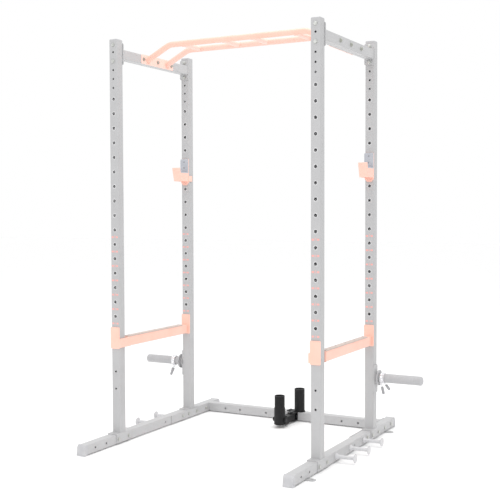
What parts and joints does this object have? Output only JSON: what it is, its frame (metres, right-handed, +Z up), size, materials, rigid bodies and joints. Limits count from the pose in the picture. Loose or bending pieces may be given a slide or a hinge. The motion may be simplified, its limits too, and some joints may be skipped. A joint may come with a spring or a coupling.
{
  "type": "power cage",
  "caption": "Four-post power cage on two long feet, with a bent double pull-up bar, J-hooks, safety bars, plate pegs, band pegs, a landmine and a bar holder.",
  "frame": {"origin": "on the floor, in the middle of the cage", "axes": "+X to the right, +Y to the back, +Z up; the J-hooks and safety bars face the front, -Y"},
  "size_m": [1.744, 1.3556, 2.1475],
  "materials": {
    "frame_paint": "pale grey powder coat",
    "accent_paint": "pale salmon powder coat",
    "band_peg_paint": "pale grey powder coat",
    "cap_plastic": "moulded end caps",
    "hook_liner": "moulded wear liner",
    "bar_pad": "extruded wear strip",
    "zinc_hardware": "zinc plated",
    "zinc_pin": "zinc plated, turned",
    "spring_wire": "chromed spring wire",
    "lever_grip": "moulded grip",
    "black_paint": "satin black powder coat",
    "black_hardware": "black zinc"
  },
  "bodies": {
    "frame": {"upright_front_left": "frame_paint", "upright_front_right": "frame_paint", "upright_rear_left": "frame_paint", "upright_rear_right": "frame_paint", "upright_caps": "cap_plastic", "foot_left": "frame_paint", "foot_right": "frame_paint", "foot_caps": "cap_plastic", "anchor_tabs": "frame_paint", "base_saddles_front": "frame_paint", "base_saddles_rear": "frame_paint", "base_bolts": "zinc_hardware", "top_rail_left": "frame_paint", "top_rail_right": "frame_paint", "top_rail_plates": "frame_paint", "top_rail_bolts": "zinc_hardware", "pullup_plates": "accent_paint", "pullup_bar_front": "accent_paint", "pullup_bar_rear": "accent_paint", "pullup_grips": "accent_paint", "pullup_bolts": "zinc_hardware", "crossmember": "frame_paint", "splice_plates": "frame_paint", "crossmember_bolts": "zinc_hardware", "band_pegs_left": "band_peg_paint", "band_pegs_right": "band_peg_paint", "peg_plates": "frame_paint", "weight_peg_left": "frame_paint", "weight_peg_right": "frame_paint", "weight_peg_caps": "cap_plastic", "holder_plate": "black_paint", "holder_tube": "black_paint", "landmine_base": "black_paint", "landmine_swivel_pin": "black_hardware"},
    "jhook_left": {"jhook_left": "accent_paint", "jhook_liner_left": "hook_liner", "jhook_pins_left": "zinc_pin"},
    "safety_bar_left": {"safety_front_left": "accent_paint", "safety_tube_left": "accent_paint", "safety_rear_left": "accent_paint", "safety_pad_left": "bar_pad", "safety_pins_left": "zinc_pin"},
    "collar_left": {"collar_coil_left": "spring_wire"},
    "collar_lever_low_left": {"collar_lever_low_left": "lever_grip"},
    "collar_lever_high_left": {"collar_lever_high_left": "lever_grip"},
    "jhook_right": {"jhook_right": "accent_paint", "jhook_liner_right": "hook_liner", "jhook_pins_right": "zinc_pin"},
    "safety_bar_right": {"safety_front_right": "accent_paint", "safety_tube_right": "accent_paint", "safety_rear_right": "accent_paint", "safety_pad_right": "bar_pad", "safety_pins_right": "zinc_pin"},
    "collar_right": {"collar_coil_right": "spring_wire"},
    "collar_lever_low_right": {"collar_lever_low_right": "lever_grip"},
    "collar_lever_high_right": {"collar_lever_high_right": "lever_grip"},
    "landmine_arm": {"landmine_yoke": "black_paint", "landmine_tilt_pin": "black_hardware"},
    "landmine_cup": {"landmine_sleeve": "black_paint"}
  },
  "joints": [
    {"name": "jhook_pull_left", "type": "slide", "parent": "frame", "child": "jhook_left", "axis": [0, -1, 0], "range_m": [0, 0.06]},
    {"name": "safety_pull_left", "type": "slide", "parent": "frame", "child": "safety_bar_left", "axis": [0, -1, 0], "range_m": [0, 0.03]},
    {"name": "collar_slide_left", "type": "slide", "parent": "frame", "child": "collar_left", "axis": [-1, 0, 0], "range_m": [-0.026, 0.17]},
    {"name": "collar_squeeze_low_left", "type": "hinge", "parent": "collar_left", "child": "collar_lever_low_left", "pos_m": [-0.664, 0.351, 0.334], "axis": [1, 0, 0], "range_deg": [0, 10], "stiffness_Nm_per_rad": 1.5},
    {"name": "collar_squeeze_high_left", "type": "hinge", "parent": "collar_left", "child": "collar_lever_high_left", "pos_m": [-0.683, 0.351, 0.334], "axis": [1, 0, 0], "range_deg": [-10, 0], "stiffness_Nm_per_rad": 1.5},
    {"name": "jhook_pull_right", "type": "slide", "parent": "frame", "child": "jhook_right", "axis": [0, -1, 0], "range_m": [0, 0.06]},
    {"name": "safety_pull_right", "type": "slide", "parent": "frame", "child": "safety_bar_right", "axis": [0, -1, 0], "range_m": [0, 0.03]},
    {"name": "collar_slide_right", "type": "slide", "parent": "frame", "child": "collar_right", "axis": [1, 0, 0], "range_m": [-0.003, 0.194]},
    {"name": "collar_squeeze_low_right", "type": "hinge", "parent": "collar_right", "child": "collar_lever_low_right", "pos_m": [0.64, 0.351, 0.334], "axis": [1, 0, 0], "range_deg": [0, 10], "stiffness_Nm_per_rad": 1.5},
    {"name": "collar_squeeze_high_right", "type": "hinge", "parent": "collar_right", "child": "collar_lever_high_right", "pos_m": [0.659, 0.351, 0.334], "axis": [1, 0, 0], "range_deg": [-10, 0], "stiffness_Nm_per_rad": 1.5},
    {"name": "landmine_swivel", "type": "hinge", "parent": "frame", "child": "landmine_arm", "pos_m": [0.03, 0.506, 0.0325], "axis": [0, 0, 1], "range_deg": [-60, 60]},
    {"name": "landmine_tilt", "type": "hinge", "parent": "landmine_arm", "child": "landmine_cup", "pos_m": [0.03, 0.35, 0.046], "axis": [1, 0, 0], "range_deg": [0, 90]}
  ],
  "couplings": [
    {"joint": "collar_squeeze_high_left", "follows": "collar_squeeze_low_left", "ratio": -1},
    {"joint": "collar_squeeze_high_right", "follows": "collar_squeeze_low_right", "ratio": -1}
  ]
}
